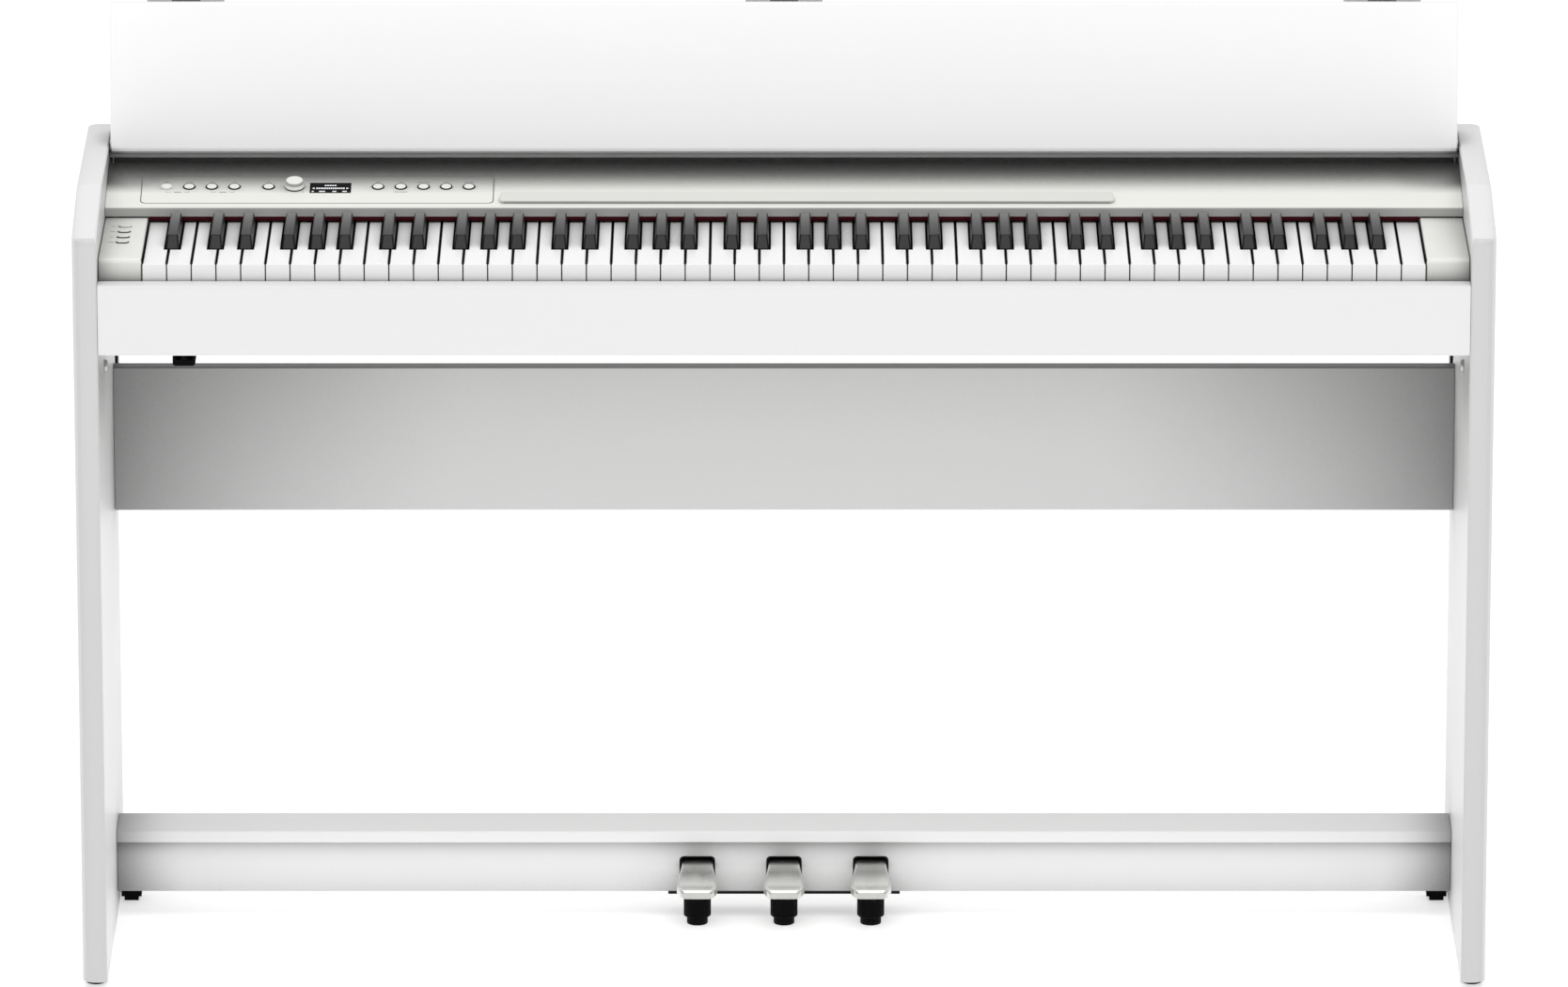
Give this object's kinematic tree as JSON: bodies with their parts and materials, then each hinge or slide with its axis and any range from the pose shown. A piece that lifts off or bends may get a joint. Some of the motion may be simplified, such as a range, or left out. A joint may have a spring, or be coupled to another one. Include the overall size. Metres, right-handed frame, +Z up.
{
  "type": "digital piano",
  "caption": "Slim upright digital piano: full keyboard between panel sides, folding lid, sloped control panel with dial and display, and a low board with pedals.",
  "frame": {"origin": "on the floor, midway between the two side panels and midway between front and rear", "axes": "+X towards the treble end, -Y towards the player, +Z up"},
  "size_m": [1.36, 0.345, 0.92],
  "materials": {
    "cabinet_white": "white satin lacquered board",
    "cabinet_core": "bare particle board",
    "panel_grey": "light warm grey moulded plastic, fine satin",
    "key_white": "semi-gloss white key plastic",
    "key_black": "matte charcoal key plastic",
    "felt_red": "dark red felt",
    "display_glass": "black glossy display window",
    "black_plastic": "matte black plastic",
    "pedal_metal": "satin nickel plated steel",
    "black_steel": "black painted steel plate"
  },
  "bodies": {
    "cabinet": {"side_panel_left": "cabinet_white", "side_panel_right": "cabinet_white", "top_board": "cabinet_white", "back_cover": "cabinet_white", "rear_board": "cabinet_white", "key_slip": "cabinet_white", "key_bed": "cabinet_core", "speaker_left": "black_plastic", "speaker_right": "black_plastic", "white_keys_bass": "key_white", "black_keys_bass": "key_black", "white_keys_treble": "key_white", "black_keys_treble": "key_black", "key_chassis": "black_plastic", "cheek_block_left": "panel_grey", "cheek_block_right": "panel_grey", "control_panel": "panel_grey", "control_plate": "panel_grey", "display_window": "display_glass", "music_ledge": "panel_grey", "felt_strip": "felt_red", "pedal_board": "cabinet_white", "pedal_base": "black_steel", "front_foot_left": "black_plastic", "front_foot_right": "black_plastic", "rear_foot_left": "black_plastic", "rear_foot_right": "black_plastic", "headphone_box": "black_plastic"},
    "lid_panel": {"lid_panel": "cabinet_white"},
    "lid_flap": {"lid_flap": "cabinet_white"},
    "pedal_left": {"pedal_left": "pedal_metal"},
    "pedal_middle": {"pedal_middle": "pedal_metal"},
    "pedal_right": {"pedal_right": "pedal_metal"},
    "key_c": {"key_c": "key_white"},
    "key_c_sharp": {"key_c_sharp": "key_black"},
    "key_d": {"key_d": "key_white"},
    "key_d_sharp": {"key_d_sharp": "key_black"},
    "key_e": {"key_e": "key_white"},
    "key_f": {"key_f": "key_white"},
    "key_f_sharp": {"key_f_sharp": "key_black"},
    "key_g": {"key_g": "key_white"},
    "key_g_sharp": {"key_g_sharp": "key_black"},
    "key_a": {"key_a": "key_white"},
    "key_a_sharp": {"key_a_sharp": "key_black"},
    "key_b": {"key_b": "key_white"},
    "dial": {"dial": "panel_grey"},
    "button_power": {"button_power": "panel_grey"},
    "button_left_1": {"button_left_1": "panel_grey"},
    "button_left_2": {"button_left_2": "panel_grey"},
    "button_left_3": {"button_left_3": "panel_grey"},
    "button_single": {"button_single": "panel_grey"},
    "button_right_1": {"button_right_1": "panel_grey"},
    "button_right_2": {"button_right_2": "panel_grey"},
    "button_right_3": {"button_right_3": "panel_grey"},
    "button_right_4": {"button_right_4": "panel_grey"},
    "button_right_5": {"button_right_5": "panel_grey"},
    "cheek_button_1": {"cheek_button_1": "panel_grey"},
    "cheek_button_2": {"cheek_button_2": "panel_grey"},
    "cheek_button_3": {"cheek_button_3": "panel_grey"},
    "cheek_button_4": {"cheek_button_4": "panel_grey"}
  },
  "joints": [
    {"name": "lid_panel_hinge", "type": "hinge", "parent": "cabinet", "child": "lid_panel", "pos_m": [0, 0.0959, 0.773], "axis": [1, 0, 0], "range_deg": [0, 100]},
    {"name": "lid_flap_hinge", "type": "hinge", "parent": "lid_panel", "child": "lid_flap", "pos_m": [0, 0.1274, 0.91712], "axis": [1, 0, 0], "range_deg": [0, 190.31]},
    {"name": "pedal_left_pivot", "type": "hinge", "parent": "cabinet", "child": "pedal_left", "pos_m": [-0.0853, 0.0865, 0.0565], "axis": [1, 0, 0], "range_deg": [0, 5.5], "stiffness_Nm_per_rad": 6, "springref_deg": -14.32},
    {"name": "pedal_middle_pivot", "type": "hinge", "parent": "cabinet", "child": "pedal_middle", "pos_m": [0, 0.0865, 0.0565], "axis": [1, 0, 0], "range_deg": [0, 5.5], "stiffness_Nm_per_rad": 6, "springref_deg": -14.32},
    {"name": "pedal_right_pivot", "type": "hinge", "parent": "cabinet", "child": "pedal_right", "pos_m": [0.0853, 0.0865, 0.0565], "axis": [1, 0, 0], "range_deg": [0, 5.5], "stiffness_Nm_per_rad": 6, "springref_deg": -14.32},
    {"name": "key_c_pivot", "type": "hinge", "parent": "cabinet", "child": "key_c", "pos_m": [-0.059, 0.0785, 0.706], "axis": [1, 0, 0], "range_deg": [0, 2.5], "stiffness_Nm_per_rad": 0.8, "springref_deg": -20.05},
    {"name": "key_c_sharp_pivot", "type": "hinge", "parent": "cabinet", "child": "key_c_sharp", "pos_m": [-0.0499, 0.0785, 0.706], "axis": [1, 0, 0], "range_deg": [0, 2.5], "stiffness_Nm_per_rad": 0.8, "springref_deg": -20.05},
    {"name": "key_d_pivot", "type": "hinge", "parent": "cabinet", "child": "key_d", "pos_m": [-0.0354, 0.0785, 0.706], "axis": [1, 0, 0], "range_deg": [0, 2.5], "stiffness_Nm_per_rad": 0.8, "springref_deg": -20.05},
    {"name": "key_d_sharp_pivot", "type": "hinge", "parent": "cabinet", "child": "key_d_sharp", "pos_m": [-0.0209, 0.0785, 0.706], "axis": [1, 0, 0], "range_deg": [0, 2.5], "stiffness_Nm_per_rad": 0.8, "springref_deg": -20.05},
    {"name": "key_e_pivot", "type": "hinge", "parent": "cabinet", "child": "key_e", "pos_m": [-0.0118, 0.0785, 0.706], "axis": [1, 0, 0], "range_deg": [0, 2.5], "stiffness_Nm_per_rad": 0.8, "springref_deg": -20.05},
    {"name": "key_f_pivot", "type": "hinge", "parent": "cabinet", "child": "key_f", "pos_m": [0.0118, 0.0785, 0.706], "axis": [1, 0, 0], "range_deg": [0, 2.5], "stiffness_Nm_per_rad": 0.8, "springref_deg": -20.05},
    {"name": "key_f_sharp_pivot", "type": "hinge", "parent": "cabinet", "child": "key_f_sharp", "pos_m": [0.0203, 0.0785, 0.706], "axis": [1, 0, 0], "range_deg": [0, 2.5], "stiffness_Nm_per_rad": 0.8, "springref_deg": -20.05},
    {"name": "key_g_pivot", "type": "hinge", "parent": "cabinet", "child": "key_g", "pos_m": [0.0354, 0.0785, 0.706], "axis": [1, 0, 0], "range_deg": [0, 2.5], "stiffness_Nm_per_rad": 0.8, "springref_deg": -20.05},
    {"name": "key_g_sharp_pivot", "type": "hinge", "parent": "cabinet", "child": "key_g_sharp", "pos_m": [0.0472, 0.0785, 0.706], "axis": [1, 0, 0], "range_deg": [0, 2.5], "stiffness_Nm_per_rad": 0.8, "springref_deg": -20.05},
    {"name": "key_a_pivot", "type": "hinge", "parent": "cabinet", "child": "key_a", "pos_m": [0.059, 0.0785, 0.706], "axis": [1, 0, 0], "range_deg": [0, 2.5], "stiffness_Nm_per_rad": 0.8, "springref_deg": -20.05},
    {"name": "key_a_sharp_pivot", "type": "hinge", "parent": "cabinet", "child": "key_a_sharp", "pos_m": [0.0741, 0.0785, 0.706], "axis": [1, 0, 0], "range_deg": [0, 2.5], "stiffness_Nm_per_rad": 0.8, "springref_deg": -20.05},
    {"name": "key_b_pivot", "type": "hinge", "parent": "cabinet", "child": "key_b", "pos_m": [0.0826, 0.0785, 0.706], "axis": [1, 0, 0], "range_deg": [0, 2.5], "stiffness_Nm_per_rad": 0.8, "springref_deg": -20.05},
    {"name": "dial_turn", "type": "hinge", "parent": "cabinet", "child": "dial", "pos_m": [-0.4739, 0.03788, 0.75064], "axis": [0, -0.2237, 0.9747], "continuous": true},
    {"name": "button_power_press", "type": "slide", "parent": "cabinet", "child": "button_power", "axis": [0, 0.2237, -0.9747], "range_m": [0, 0.0015], "stiffness_N_per_m": 200, "springref_m": -0.002},
    {"name": "button_left_1_press", "type": "slide", "parent": "cabinet", "child": "button_left_1", "axis": [0, 0.2237, -0.9747], "range_m": [0, 0.0015], "stiffness_N_per_m": 200, "springref_m": -0.002},
    {"name": "button_left_2_press", "type": "slide", "parent": "cabinet", "child": "button_left_2", "axis": [0, 0.2237, -0.9747], "range_m": [0, 0.0015], "stiffness_N_per_m": 200, "springref_m": -0.002},
    {"name": "button_left_3_press", "type": "slide", "parent": "cabinet", "child": "button_left_3", "axis": [0, 0.2237, -0.9747], "range_m": [0, 0.0015], "stiffness_N_per_m": 200, "springref_m": -0.002},
    {"name": "button_single_press", "type": "slide", "parent": "cabinet", "child": "button_single", "axis": [0, 0.2237, -0.9747], "range_m": [0, 0.0015], "stiffness_N_per_m": 200, "springref_m": -0.002},
    {"name": "button_right_1_press", "type": "slide", "parent": "cabinet", "child": "button_right_1", "axis": [0, 0.2237, -0.9747], "range_m": [0, 0.0015], "stiffness_N_per_m": 200, "springref_m": -0.002},
    {"name": "button_right_2_press", "type": "slide", "parent": "cabinet", "child": "button_right_2", "axis": [0, 0.2237, -0.9747], "range_m": [0, 0.0015], "stiffness_N_per_m": 200, "springref_m": -0.002},
    {"name": "button_right_3_press", "type": "slide", "parent": "cabinet", "child": "button_right_3", "axis": [0, 0.2237, -0.9747], "range_m": [0, 0.0015], "stiffness_N_per_m": 200, "springref_m": -0.002},
    {"name": "button_right_4_press", "type": "slide", "parent": "cabinet", "child": "button_right_4", "axis": [0, 0.2237, -0.9747], "range_m": [0, 0.0015], "stiffness_N_per_m": 200, "springref_m": -0.002},
    {"name": "button_right_5_press", "type": "slide", "parent": "cabinet", "child": "button_right_5", "axis": [0, 0.2237, -0.9747], "range_m": [0, 0.0015], "stiffness_N_per_m": 200, "springref_m": -0.002},
    {"name": "cheek_button_1_press", "type": "slide", "parent": "cabinet", "child": "cheek_button_1", "axis": [0, 0, -1], "range_m": [0, 0.0015], "stiffness_N_per_m": 200, "springref_m": -0.002},
    {"name": "cheek_button_2_press", "type": "slide", "parent": "cabinet", "child": "cheek_button_2", "axis": [0, 0, -1], "range_m": [0, 0.0015], "stiffness_N_per_m": 200, "springref_m": -0.002},
    {"name": "cheek_button_3_press", "type": "slide", "parent": "cabinet", "child": "cheek_button_3", "axis": [0, 0, -1], "range_m": [0, 0.0015], "stiffness_N_per_m": 200, "springref_m": -0.002},
    {"name": "cheek_button_4_press", "type": "slide", "parent": "cabinet", "child": "cheek_button_4", "axis": [0, 0, -1], "range_m": [0, 0.0015], "stiffness_N_per_m": 200, "springref_m": -0.002}
  ]
}
